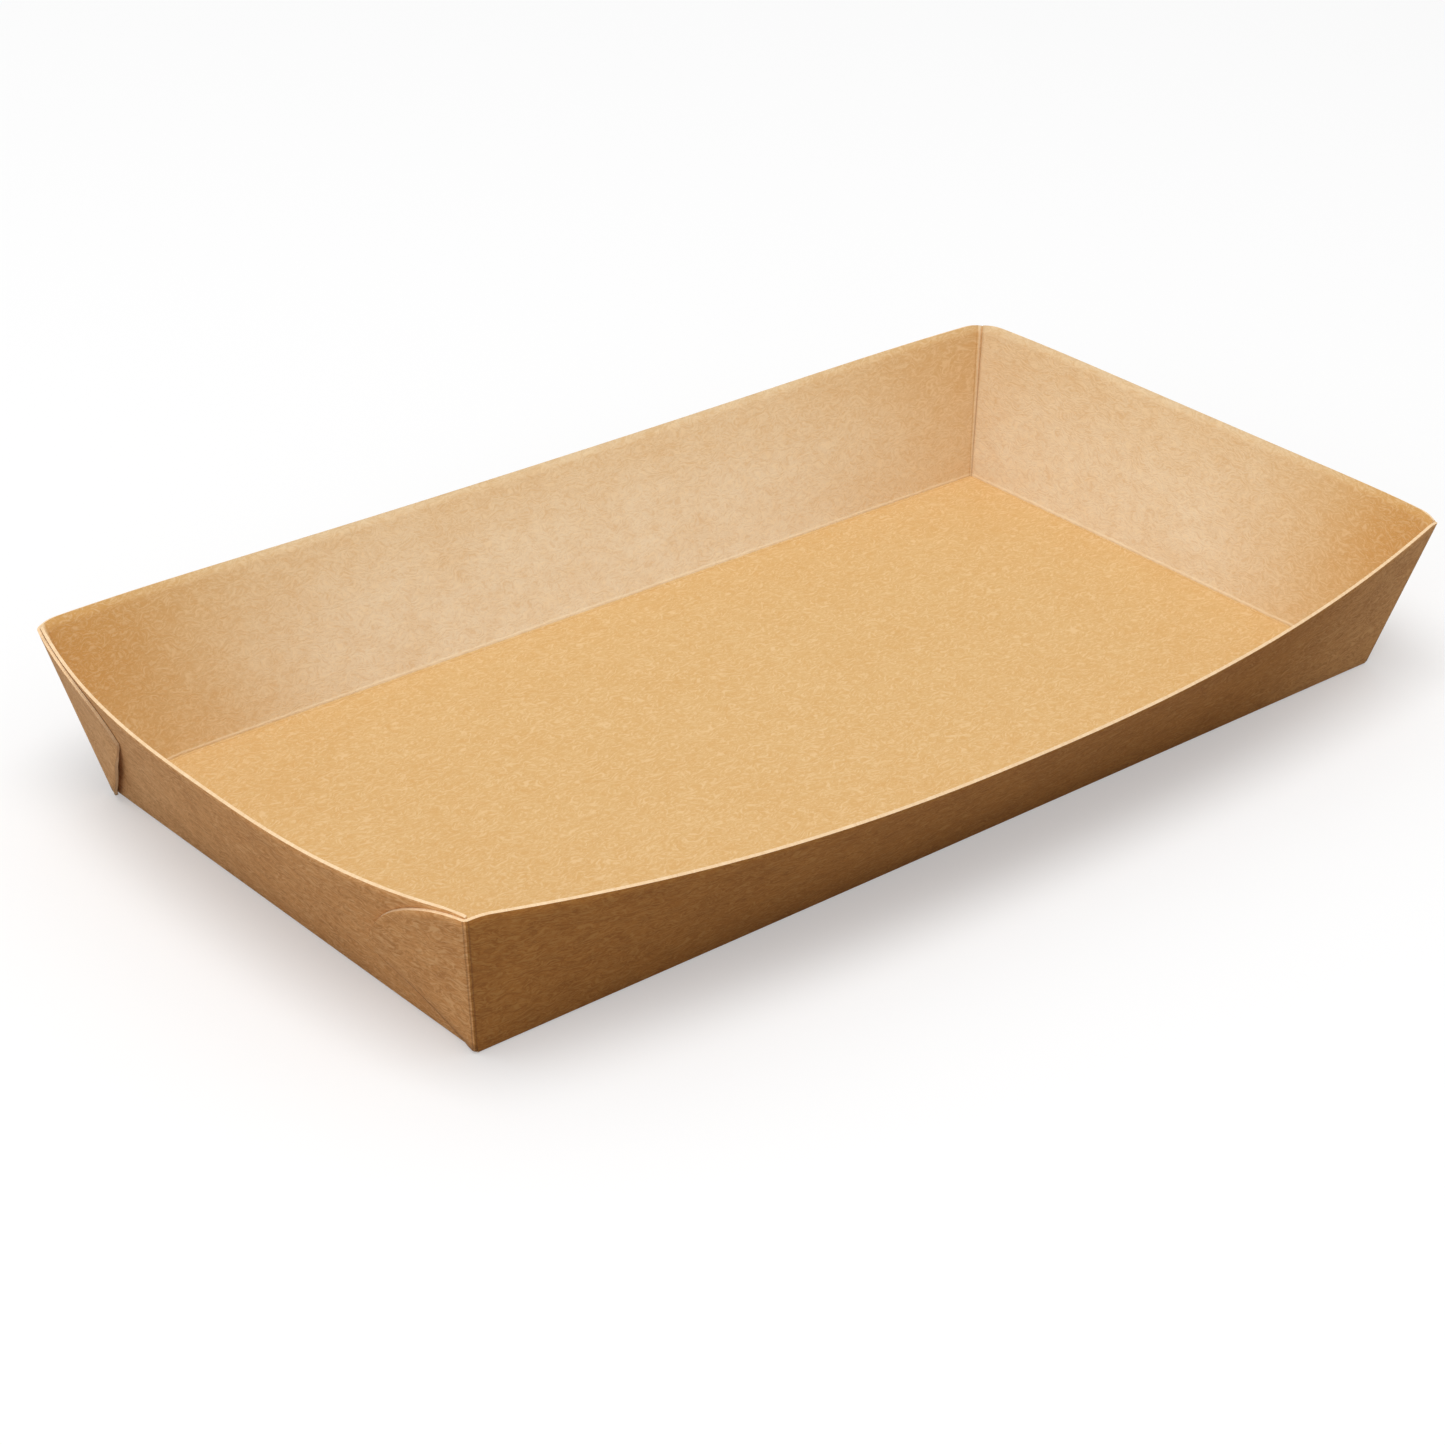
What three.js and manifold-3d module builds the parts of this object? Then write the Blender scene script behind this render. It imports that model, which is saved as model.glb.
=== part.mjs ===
// Folded paper food tray.
// One creased blank of kraft board: a flat base, two long walls whose ends wrap round the corners
// as glue tabs, and two end walls that stand inside those tabs. The folded walls spring outwards,
// so each leans further at its middle than at its corners and its rim dips there.
// Millimetres. +X runs along the tray, +Z is up, and the origin is under the middle of the base.

import * as THREE from 'three';
import Module from 'manifold-3d';

// Board
const BOARD = 0.5;
const FOLD_INNER_RADIUS = 0.15;
const GLUE_GAP = 0.1;
const EDGE_CLEARANCE = 0.25;

// Base
const BASE_LENGTH = 200;
const BASE_WIDTH = 100;

// Long walls: height of the board up the slope, and lean outwards from upright in degrees
const LONG_SLANT = 28.3;
const LONG_EAR = 1.45;
const LONG_LEAN_MIDDLE = 34.9;
const LONG_LEAN_CORNER = 12.7;
const LONG_SPRING = 2.3;

// End walls
const END_SLANT = 29.4;
const END_EAR = 0.6;
const END_LEAN_MIDDLE = 26.6;
const END_LEAN_CORNER = 13;
const END_SPRING = 2.7;

// Rounding of the cut edges beside each corner fold
const CORNER_DROP = 0.9;
const CORNER_RUN = 4;

// Glue tabs, as distances along the end wall from the corner fold and up its slope.
// The front wall's pair is round and glued flat, the back wall's pair is pointed and stands off.
// `crown` and `shoulder` draw the upper edge, as distances from the fold and rises above its start.
const FRONT_TAB = {
  reach: 20.5, tip: 14.5, foot: 4, nose: 4, lift: 0,
  crown: { run: 7, rise: 1.2 }, shoulder: { run: 17, rise: -2.2 },
};
const BACK_TAB = {
  reach: 23, tip: 19.7, foot: 3.5, nose: 0.6, lift: 0.35,
  crown: { run: 10, rise: 0.6 }, shoulder: { run: 24, rise: 1.1 },
};

// Glue spot under each tab
const GLUE_FROM_FOLD = 4;
const GLUE_LENGTH = 6;
const GLUE_UP = 9;
const GLUE_HEIGHT = 11;

// How finely the curves are divided
const LONG_STEPS = 32;
const END_STEPS = 20;
const WALL_ROWS = 4;
const CREASE_STEPS = 3;
const TAB_STEPS = 12;

const KRAFT = 0xc99b62;

const radians = THREE.MathUtils.degToRad;
const halfLength = BASE_LENGTH / 2;
const halfWidth = BASE_WIDTH / 2;
const longCornerLean = radians(LONG_LEAN_CORNER);
const endCornerLean = radians(END_LEAN_CORNER);
const foldOuterRadius = BOARD + FOLD_INNER_RADIUS;

// Each tab lies outside its end wall, so the end wall's crease is set in by board and glue
const tabOut = BOARD + GLUE_GAP;
const endCrease = halfLength - tabOut / Math.cos(endCornerLean);

// Where the flat board starts on both sides of a crease, from the steepest wall's turn
const steepestTurn = Math.PI / 2 - Math.min(longCornerLean, endCornerLean);
const creaseSetback = foldOuterRadius * Math.tan(steepestTurn / 2);
const cornerTurn = Math.acos(Math.sin(longCornerLean) * Math.sin(endCornerLean));
const cornerSetback = foldOuterRadius * Math.tan(cornerTurn / 2);
const endWallInset = Math.max(BOARD + EDGE_CLEARANCE, creaseSetback);

// Lean in radians at `u`, which runs from -1 to 1 between the corner folds
function leanAt(u, middle, corner, spring) {
  return radians(corner + (middle - corner) * (1 - Math.abs(u) ** spring));
}

// Height of the cut edge up the slope: an ear rises towards the corner and is rounded off there
function rimAt(u, half, slant, ear) {
  const fromCorner = half * (1 - Math.abs(u));
  const rounding = Math.max(0, 1 - fromCorner / CORNER_RUN);
  return slant + ear * Math.abs(u) ** 3 - CORNER_DROP * rounding ** 2;
}

const longLean = (u) => leanAt(u, LONG_LEAN_MIDDLE, LONG_LEAN_CORNER, LONG_SPRING);
const endLean = (w) => leanAt(w, END_LEAN_MIDDLE, END_LEAN_CORNER, END_SPRING);
const longRim = (u) => rimAt(u, halfLength, LONG_SLANT, LONG_EAR);
const endRim = (w) => rimAt(w, halfWidth, END_SLANT, END_EAR);

// A point `q` up the slope of the back wall and `out` from its outer face
function longPoint(u, q, out) {
  const lean = longLean(u);
  const cornerHeight = q * Math.cos(longCornerLean) - out * Math.sin(longCornerLean);
  const x = u * (halfLength + cornerHeight * Math.tan(endCornerLean));
  const y = halfWidth + q * Math.sin(lean) + out * Math.cos(lean);
  const z = q * Math.cos(lean) - out * Math.sin(lean);
  return new THREE.Vector3(x, y, z);
}

// A point `q` up the slope of the right end wall and `out` from its outer face
function endPoint(w, q, out) {
  const lean = endLean(w);
  const cornerHeight = q * Math.cos(endCornerLean) - out * Math.sin(endCornerLean);
  const x = endCrease + q * Math.sin(lean) + out * Math.cos(lean);
  const y = w * (halfWidth + cornerHeight * Math.tan(longCornerLean));
  const z = q * Math.cos(lean) - out * Math.sin(lean);
  return new THREE.Vector3(x, y, z);
}

// Every place on the board is a pair of points, on its outer face and on its inner face
const pair = (outer, inner) => ({ outer, inner });
const onLong = (u, q) => pair(longPoint(u, q, 0), longPoint(u, q, -BOARD));
const onEnd = (w, q) => pair(endPoint(w, q, 0), endPoint(w, q, -BOARD));
const onBase = (x, y) => pair(new THREE.Vector3(x, y, 0), new THREE.Vector3(x, y, BOARD));

// Board bent from one flat to the next about the line where the two flats would meet
function bend(from, corner, to, f) {
  const face = (a, b, c) => new THREE.QuadraticBezierCurve3(a, b, c).getPoint(f);
  return pair(face(from.outer, corner.outer, to.outer), face(from.inner, corner.inner, to.inner));
}

// The inner faces of base and wall meet inside the crease by the board's thickness
function creaseCorner(outer, outward, turn) {
  const inward = outward.clone().multiplyScalar(-BOARD * Math.tan(turn / 2));
  return pair(outer, outer.clone().add(inward).setZ(outer.z + BOARD));
}

// A wall's column of places, from the base up through the crease to the rim
function wallColumn(start, corner, slopeAt, rim) {
  const first = slopeAt(creaseSetback);
  const column = [];
  for (let j = 0; j < CREASE_STEPS; j++) column.push(bend(start, corner, first, j / CREASE_STEPS));
  for (let k = 0; k <= WALL_ROWS; k++) {
    column.push(slopeAt(THREE.MathUtils.lerp(creaseSetback, rim, k / WALL_ROWS)));
  }
  return column;
}

function longColumn(u) {
  const x = u * halfLength;
  const turn = Math.PI / 2 - longLean(u);
  const corner = creaseCorner(new THREE.Vector3(x, halfWidth, 0), new THREE.Vector3(0, 1, 0), turn);
  return wallColumn(onBase(x, halfWidth - creaseSetback), corner, (q) => onLong(u, q), longRim(u));
}

function endColumn(w) {
  const y = w * halfWidth;
  const turn = Math.PI / 2 - endLean(w);
  const corner = creaseCorner(new THREE.Vector3(endCrease, y, 0), new THREE.Vector3(1, 0, 0), turn);
  return wallColumn(onBase(endCrease - creaseSetback, y), corner, (q) => onEnd(w, q), endRim(w));
}

// Stations from -1 to 1 along a wall, closer where the cut edge is rounded
function stations(half, last, steps) {
  const rounded = [CORNER_RUN * 0.4, CORNER_RUN].map((d) => 1 - d / half);
  const even = [];
  for (let i = 0; i < steps / 2; i++) even.push((rounded[1] * i) / (steps / 2));
  const right = [...even, rounded[1], rounded[0], ...last];
  return [...right.slice(1).reverse().map((u) => -u), ...right];
}

// The long walls have a column where the end crease begins and one where the corner fold begins
const longStations = stations(
  halfLength,
  [(endCrease - creaseSetback) / halfLength, 1 - cornerSetback / halfLength],
  LONG_STEPS,
);
const endStations = stations(halfWidth, [1 - endWallInset / halfWidth], END_STEPS);

// A board sheet: places shared by neighbouring panels, and triangles over them
class Sheet {
  constructor() {
    this.places = [];
    this.known = new Map();
    this.faces = [];
  }

  place(p) {
    const key = p.outer.toArray().map((v) => Math.round(v * 1e4)).join();
    if (!this.known.has(key)) this.known.set(key, this.places.push(p) - 1);
    return this.known.get(key);
  }

  // Adds a triangle, turned so that its front is the board's outer face
  triangle(a, b, c) {
    const ids = [a, b, c].map((p) => this.place(p));
    if (new Set(ids).size < 3) return;
    const normal = new THREE.Triangle(a.outer, b.outer, c.outer).getNormal(new THREE.Vector3());
    const outward = a.outer.clone().sub(a.inner);
    if (normal.dot(outward) < 0) ids.reverse();
    this.faces.push(ids);
  }

  grid(columns) {
    for (let i = 1; i < columns.length; i++) {
      for (let k = 1; k < columns[i].length; k++) {
        this.triangle(columns[i - 1][k - 1], columns[i][k - 1], columns[i][k]);
        this.triangle(columns[i - 1][k - 1], columns[i][k], columns[i - 1][k]);
      }
    }
  }

  // Closes the sheet: outer face, inner face, and a strip along every cut edge
  solid() {
    const inner = this.places.length;
    const triangles = [];
    const edges = new Set();
    for (const [a, b, c] of this.faces) {
      triangles.push([a, b, c], [c + inner, b + inner, a + inner]);
      for (const edge of [[a, b], [b, c], [c, a]]) edges.add(edge.join());
    }
    for (const edge of edges) {
      const [a, b] = edge.split(',').map(Number);
      if (edges.has([b, a].join())) continue;
      triangles.push([b, a, a + inner], [b, a + inner, b + inner]);
    }
    const points = [...this.places.map((p) => p.outer), ...this.places.map((p) => p.inner)];
    return { points, triangles };
  }
}

// Mirrors a place into another corner of the tray
function mirrored(p, sx, sy) {
  const flip = (v) => new THREE.Vector3(v.x * sx, v.y * sy, v.z);
  return pair(flip(p.outer), flip(p.inner));
}

function addMirrored(sheet, columns, sx, sy) {
  sheet.grid(columns.map((column) => column.map((p) => mirrored(p, sx, sy))));
}

// The base: strips across its width, and a fan from each last strip to the end crease
function addBase(sheet) {
  const edgeY = halfWidth - creaseSetback;
  const lines = longStations.slice(1, -1).map((u) => u * halfLength);
  const across = lines.map((x) => [onBase(x, -edgeY), onBase(x, edgeY)]);
  sheet.grid(across.slice(1, -1));
  for (const side of [-1, 1]) {
    const crease = endStations.map((w) => onBase(side * (endCrease - creaseSetback), w * halfWidth));
    const rim = [onBase(side * (endCrease - creaseSetback), -edgeY), ...crease];
    rim.push(onBase(side * (endCrease - creaseSetback), edgeY));
    const [near, far] = side < 0 ? across[1] : across[across.length - 2];
    const middle = Math.floor(rim.length / 2);
    for (let i = 1; i < rim.length; i++) sheet.triangle(i <= middle ? near : far, rim[i - 1], rim[i]);
    sheet.triangle(near, far, rim[middle]);
  }
}

// How far a place on a tab stands off its end wall beyond the glue
function liftAt(tab, d) {
  return tab.lift * THREE.MathUtils.smoothstep(d, GLUE_FROM_FOLD + GLUE_LENGTH, tab.reach);
}

// A place on a tab, `d` along the end wall from the corner fold and `q` up its slope
function onTab(tab, d, q) {
  const cornerHeight = q * Math.cos(endCornerLean) - tabOut * Math.sin(endCornerLean);
  const w = 1 - d / (halfWidth + cornerHeight * Math.tan(longCornerLean));
  const out = tabOut + liftAt(tab, d);
  return pair(endPoint(w, q, out), endPoint(w, q, out - BOARD));
}

// The tab's height up the end wall's slope at the same level as `q` up the long wall's
const tabHeight = (q) =>
  (q * Math.cos(longCornerLean) + tabOut * Math.sin(endCornerLean)) / Math.cos(endCornerLean);

// The tab's cut outline: a crowned upper edge to the tip, and a straight free edge to the foot
function tabOutline(tab) {
  const top = new THREE.Vector2(cornerSetback, tabHeight(longRim(1)));
  const low = new THREE.Vector2(cornerSetback, tabHeight(creaseSetback));
  const tip = new THREE.Vector2(tab.reach, tab.tip);
  const crown = new THREE.Vector2(tab.crown.run, top.y + tab.crown.rise);
  const shoulder = new THREE.Vector2(tab.shoulder.run, top.y + tab.shoulder.rise);
  const upper = new THREE.CubicBezierCurve(top, crown, shoulder, tip);
  const foot = new THREE.Vector2(tab.foot, low.y);
  const free = new THREE.Vector2(tab.reach, tab.tip - tab.nose);
  const bevel = foot.clone().sub(free).setLength(tab.nose).add(free);
  const lower = new THREE.CurvePath();
  lower.add(new THREE.LineCurve(low, foot));
  lower.add(new THREE.LineCurve(foot, bevel));
  lower.add(new THREE.QuadraticBezierCurve(bevel, free, tip));
  return { upper, lower };
}

// The corner fold and the tab beyond it
function addTab(sheet, tab, sx, sy) {
  const heights = [];
  for (let k = 0; k <= WALL_ROWS; k++) {
    heights.push(THREE.MathUtils.lerp(creaseSetback, longRim(1), k / WALL_ROWS));
  }
  const { upper, lower } = tabOutline(tab);
  const onColumn = (i) => heights.map((_, k) => {
    const spot = lower.getPoint(i / TAB_STEPS).lerp(upper.getPoint(i / TAB_STEPS), k / WALL_ROWS);
    return onTab(tab, spot.x, spot.y);
  });
  const first = onColumn(0);
  const wallEnd = longColumn(longStations.at(-1)).slice(CREASE_STEPS);
  const columns = [wallEnd];
  for (let j = 1; j < CREASE_STEPS; j++) {
    columns.push(heights.map((q, k) => bend(wallEnd[k], onFold(q), first[k], j / CREASE_STEPS)));
  }
  columns.push(first);
  for (let i = 1; i <= TAB_STEPS; i++) columns.push(onColumn(i));
  addMirrored(sheet, columns, sx, sy);
}

// Where the long wall's faces and the tab's faces would meet, `q` up the long wall
function onFold(q) {
  const long = new THREE.Vector3(0, Math.cos(longCornerLean), -Math.sin(longCornerLean));
  const end = new THREE.Vector3(Math.cos(endCornerLean), 0, -Math.sin(endCornerLean));
  const inward = long.clone().add(end).multiplyScalar(-BOARD / (1 + long.dot(end)));
  const outer = longPoint(1, q, 0);
  return pair(outer, outer.clone().add(inward));
}

function addWalls(sheet) {
  const long = longStations.map(longColumn);
  const end = endStations.map(endColumn);
  for (const side of [-1, 1]) {
    addMirrored(sheet, long, 1, side);
    addMirrored(sheet, end, side, 1);
    addTab(sheet, FRONT_TAB, side, -1);
    addTab(sheet, BACK_TAB, side, 1);
  }
}

// A thin spot of glue that reaches into the tab on one side and the end wall on the other
function glueSpot(sx, sy) {
  const sheet = new Sheet();
  const bite = BOARD / 3;
  const columns = [0, 0.5, 1].map((i) => [0, 0.5, 1].map((k) => {
    const d = GLUE_FROM_FOLD + i * GLUE_LENGTH;
    const q = GLUE_UP + k * GLUE_HEIGHT;
    const w = 1 - d / (halfWidth + q * Math.cos(endCornerLean) * Math.tan(longCornerLean));
    return pair(endPoint(w, q, GLUE_GAP + bite), endPoint(w, q, -bite));
  }));
  addMirrored(sheet, columns, sx, sy);
  return sheet;
}

const wasm = await Module();
wasm.setup();

function toManifold(sheet) {
  const { points, triangles } = sheet.solid();
  return new wasm.Manifold(new wasm.Mesh({
    numProp: 3,
    vertProperties: new Float32Array(points.flatMap((p) => p.toArray())),
    triVerts: new Uint32Array(triangles.flat()),
  }));
}

function toGeometry(solid) {
  const mesh = solid.getMesh();
  const geometry = new THREE.BufferGeometry();
  geometry.setAttribute('position', new THREE.BufferAttribute(mesh.vertProperties, 3));
  geometry.setIndex(new THREE.BufferAttribute(mesh.triVerts, 1));
  geometry.computeVertexNormals();
  return geometry;
}

function foldedTray() {
  const sheet = new Sheet();
  addBase(sheet);
  addWalls(sheet);
  let solid = toManifold(sheet);
  for (const sx of [-1, 1]) {
    for (const sy of [-1, 1]) solid = solid.add(toManifold(glueSpot(sx, sy)));
  }
  const material = new THREE.MeshStandardMaterial({ color: KRAFT, roughness: 0.85, metalness: 0 });
  const mesh = new THREE.Mesh(toGeometry(solid), material);
  mesh.name = 'folded_tray';
  return mesh;
}

const tray = new THREE.Group();
tray.add(foldedTray());

export default tray;
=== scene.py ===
import math

import bmesh
import bpy
from mathutils import Matrix, Vector


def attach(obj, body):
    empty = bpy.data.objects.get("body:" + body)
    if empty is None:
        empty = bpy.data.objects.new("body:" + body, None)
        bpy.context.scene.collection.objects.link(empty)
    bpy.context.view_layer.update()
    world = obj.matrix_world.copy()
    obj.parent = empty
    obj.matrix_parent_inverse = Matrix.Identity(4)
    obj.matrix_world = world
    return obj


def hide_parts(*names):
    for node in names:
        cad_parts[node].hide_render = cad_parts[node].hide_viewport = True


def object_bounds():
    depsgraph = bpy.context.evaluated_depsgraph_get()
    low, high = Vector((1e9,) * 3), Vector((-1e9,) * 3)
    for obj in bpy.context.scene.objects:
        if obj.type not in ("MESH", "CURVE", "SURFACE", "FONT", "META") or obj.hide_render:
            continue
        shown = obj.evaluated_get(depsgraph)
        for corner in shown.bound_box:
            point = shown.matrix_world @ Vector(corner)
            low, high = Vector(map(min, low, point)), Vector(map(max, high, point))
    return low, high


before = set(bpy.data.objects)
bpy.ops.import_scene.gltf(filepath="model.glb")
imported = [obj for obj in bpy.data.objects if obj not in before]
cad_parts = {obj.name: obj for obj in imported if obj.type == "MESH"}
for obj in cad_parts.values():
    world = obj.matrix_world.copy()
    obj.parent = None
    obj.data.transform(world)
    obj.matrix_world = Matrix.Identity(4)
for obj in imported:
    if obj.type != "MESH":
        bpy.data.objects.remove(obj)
cad_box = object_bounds()

# The blank
# One sheet of brown kraft board, cut and scored flat on a platen press. Each panel is drawn here
# as a flat grid in metres, with how far every spot lies from the creases and from the corner folds.

MM = 0.001
BOARD = 0.5 * MM
FOLD_INNER_RADIUS = 0.15 * MM
GLUE_GAP = 0.1 * MM
EDGE_CLEARANCE = 0.03 * MM
HALF_LENGTH = 100 * MM
HALF_WIDTH = 50 * MM
CORNER_RUN = 4 * MM
CORNER_COLUMNS = 8


def flat_panel(name, columns):
    """A grid of board. A spot is (place, point on the blank, crease and corner distance, curl)."""
    height = len(columns[0])
    spots = [spot for column in columns for spot in column]
    squares = []
    for i in range(len(columns) - 1):
        for k in range(height - 1):
            a = i * height + k
            squares.append((a, a + height, a + height + 1, a + 1))
    mesh = bpy.data.meshes.new(name)
    mesh.from_pydata([(*spot[0], 0) for spot in spots], [], squares)
    blank = mesh.attributes.new("blank", "FLOAT_VECTOR", "POINT")
    blank.data.foreach_set("vector", [v for spot in spots for v in (*spot[1], 0)])
    for label, part in (("crease", 2), ("corner", 3), ("curl", 4)):
        values = mesh.attributes.new(label, "FLOAT", "POINT")
        values.data.foreach_set("value", [spot[part] for spot in spots])
    return mesh


def evenly(start, end, steps):
    """Numbers from start to end, both included."""
    return [start + (end - start) * i / steps for i in range(steps + 1)]


def across(end, steps):
    """Numbers from -end to end, closer together where the cut edge is rounded off."""
    right = evenly(0, end - CORNER_RUN, steps) + evenly(end - CORNER_RUN, end, CORNER_COLUMNS)[1:]
    return [-x for x in right[:0:-1]] + right


# Base
# The flat bottom panel that the tray stands on, with a score line along each of its sides. The
# short scores are set in, because the end walls stand inside the glued tabs.

LONG_CORNER_LEAN = math.radians(12.7)
END_CORNER_LEAN = math.radians(13)
BASE_COLUMNS = 60
BASE_ROWS = 30
FAR_FROM_CORNER = -1

tab_out = BOARD + GLUE_GAP
end_crease = HALF_LENGTH - tab_out / math.cos(END_CORNER_LEAN)
steepest_turn = math.pi / 2 - min(LONG_CORNER_LEAN, END_CORNER_LEAN)
crease_setback = (BOARD + FOLD_INNER_RADIUS) * math.tan(steepest_turn / 2)
corner_turn = math.acos(math.sin(LONG_CORNER_LEAN) * math.sin(END_CORNER_LEAN))
corner_setback = (BOARD + FOLD_INNER_RADIUS) * math.tan(corner_turn / 2)

base_columns = across(end_crease - crease_setback, BASE_COLUMNS)
base_rows = across(HALF_WIDTH - crease_setback, BASE_ROWS)


def base_panel():
    """The bottom, with each spot's distance inwards from the nearest crease below zero."""
    columns = []
    for x in base_columns:
        column = []
        for y in base_rows:
            crease = -min(end_crease - abs(x), HALF_WIDTH - abs(y))
            column.append(((x, y), (x, y), crease, FAR_FROM_CORNER, 0))
        columns.append(column)
    return flat_panel("base", columns)


panels = [base_panel()]

# Long and end walls
# Four strips of the same board, folded up along the scores and held by the tabs at their corners.
# They spring outwards, so each leans most at its middle, and its cut edge dips there.

LONG_SLANT = 28.3 * MM
LONG_EAR = 1.45 * MM
LONG_MIDDLE_LEAN = math.radians(34.9)
LONG_SPRING = 2.3
END_SLANT = 29.4 * MM
END_EAR = 0.6 * MM
END_MIDDLE_LEAN = math.radians(26.6)
END_SPRING = 2.7
CORNER_DROP = 0.9 * MM
CREASE_ROWS = 6
WALL_ROWS = 16

end_wall_inset = max(BOARD + EDGE_CLEARANCE, crease_setback)


def rim_height(along, half, slant, ear):
    """Height of the cut edge above the crease: an ear near the corner, rounded off at its end."""
    from_corner = half - abs(along)
    rounding = max(0, 1 - from_corner / CORNER_RUN)
    return slant + ear * (abs(along) / half) ** 3 - CORNER_DROP * rounding**2


def wall_panel(name, stations, half, line, slant, ear):
    """A wall's blank, with its crease on y = 0 and `line` from the crease to the base's middle."""
    columns = []
    for x in stations:
        rim = rim_height(x, half, slant, ear)
        heights = evenly(-crease_setback, crease_setback, CREASE_ROWS)[:-1]
        heights += evenly(crease_setback, rim, WALL_ROWS)
        columns.append([((x, y), (x, line + y), y, abs(x) - half, 0) for y in heights])
    return flat_panel(name, columns)


class Wire:
    """An output in a node tree. Arithmetic on it adds Math nodes."""

    def __init__(self, nodes, socket):
        self.nodes = nodes
        self.socket = socket

    def math(self, operation, *others):
        values = dict(enumerate((self, *others)))
        return self.nodes.add("ShaderNodeMath", values, operation=operation)

    def __add__(self, other):
        return self.math("ADD", other)

    def __sub__(self, other):
        return self.math("SUBTRACT", other)

    def __mul__(self, other):
        return self.math("MULTIPLY", other)

    def __truediv__(self, other):
        return self.math("DIVIDE", other)

    def __pow__(self, other):
        return self.math("POWER", other)

    def __radd__(self, other):
        return self + other

    def __rsub__(self, other):
        return self * -1 + other

    def __rmul__(self, other):
        return self * other

    def __rtruediv__(self, other):
        return self**-1 * other

    def __rpow__(self, other):
        return self.nodes.add("ShaderNodeMath", {0: other, 1: self}, operation="POWER")

    def __abs__(self):
        return self.math("ABSOLUTE")

    def sin(self):
        return self.math("SINE")

    def cos(self):
        return self.math("COSINE")

    def tan(self):
        return self.math("TANGENT")

    def clamped(self):
        """Kept between 0 and 1."""
        return self.math("MAXIMUM", 0).math("MINIMUM", 1)


class Nodes:
    """A node tree that nodes are added to one at a time."""

    def __init__(self, tree):
        self.tree = tree

    def add(self, kind, inputs=None, output=0, **settings):
        """A node of that type: its own settings first, then the values or wires of its sockets."""
        node = self.tree.nodes.new(kind)
        for name, value in settings.items():
            setattr(node, name, value)
        for key, value in (inputs or {}).items():
            if isinstance(value, Wire):
                self.tree.links.new(value.socket, node.inputs[key])
            else:
                node.inputs[key].default_value = value
        return Wire(self, node.outputs[output])

    def xyz(self, x, y, z):
        return self.add("ShaderNodeCombineXYZ", {"X": x, "Y": y, "Z": z})

    def part(self, vector, axis):
        return self.add("ShaderNodeSeparateXYZ", {0: vector}, axis)

    def vector(self, operation, first, second):
        return self.add("ShaderNodeVectorMath", {0: first, 1: second}, operation=operation)

    def smooth(self, value, start, end):
        """Rises from 0 at start to 1 at end, level at both."""
        inputs = {"Value": value, "From Min": start, "From Max": end}
        return self.add("ShaderNodeMapRange", inputs, interpolation_type="SMOOTHSTEP")


def folding_tree(name, labels):
    """An empty tree that takes a flat panel and the named sizes, and their wires."""
    tree = bpy.data.node_groups.new(name, "GeometryNodeTree")
    tree.interface.new_socket("Panel", in_out="INPUT", socket_type="NodeSocketGeometry")
    tree.interface.new_socket("Folded", in_out="OUTPUT", socket_type="NodeSocketGeometry")
    for label in labels:
        tree.interface.new_socket(label, in_out="INPUT", socket_type="NodeSocketFloat")
    tree.interface.new_socket("Board", in_out="INPUT", socket_type="NodeSocketMaterial")
    nodes = Nodes(tree)
    entry = tree.nodes.new("NodeGroupInput")
    return nodes, {socket.name: Wire(nodes, socket) for socket in entry.outputs if socket.name}


def finish_folding(nodes, size, x, y, z):
    """Moves each spot of the panel to its folded place and ends the tree."""
    place = nodes.xyz(x, y, z)
    moved = nodes.add("GeometryNodeSetPosition", {"Geometry": size["Panel"], "Position": place})
    real = nodes.add("GeometryNodeRealizeInstances", {"Geometry": moved})
    board = nodes.add("GeometryNodeSetMaterial", {"Geometry": real, "Material": size["Board"]})
    last = nodes.tree.nodes.new("NodeGroupOutput")
    nodes.tree.links.new(board.socket, last.inputs[0])
    return nodes.tree


def lean_at(share, middle, corner, spring):
    """Lean from upright at a share of the way from the wall's middle to its corner."""
    return corner + (middle - corner) * (1 - abs(share) ** spring)


WALL_LABELS = (
    "Half Length",
    "Crease Line",
    "Setback",
    "Middle Lean",
    "Corner Lean",
    "Spring",
    "Next Lean",
)


def wall_folding():
    """Folds a wall up from its crease, with x along the wall and y away from the base's middle."""
    nodes, size = folding_tree("wall_folding", WALL_LABELS)
    spot = nodes.add("GeometryNodeInputPosition")
    along = nodes.part(spot, "X")
    flat = nodes.part(spot, "Y")
    setback = size["Setback"]
    share = along / size["Half Length"]
    lean = lean_at(share, size["Middle Lean"], size["Corner Lean"], size["Spring"])
    turned = ((flat + setback) / (setback * 2)).clamped()
    up = turned**2 * setback + (flat - setback).math("MAXIMUM", 0)
    x = along + share * up * size["Corner Lean"].cos() * size["Next Lean"].tan()
    y = size["Crease Line"] - (1 - turned) ** 2 * setback + up * lean.sin()
    return finish_folding(nodes, size, x, y, up * lean.cos())


def settled(piece):
    """A plain mesh of an object with its modifiers applied. The object itself is removed."""
    graph = bpy.context.evaluated_depsgraph_get()
    mesh = bpy.data.meshes.new_from_object(
        piece.evaluated_get(graph), preserve_all_data_layers=True, depsgraph=graph
    )
    bpy.data.objects.remove(piece)
    return mesh


def folded(panel, tree, sizes):
    """The panel's mesh after its folding tree has moved it."""
    blank = bpy.data.objects.new(panel.name, panel)
    bpy.context.scene.collection.objects.link(blank)
    fold = blank.modifiers.new("fold", "NODES")
    fold.node_group = tree
    for item in tree.interface.items_tree:
        if item.name in sizes:
            fold[item.identifier] = sizes[item.name]
    return settled(blank)


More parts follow.
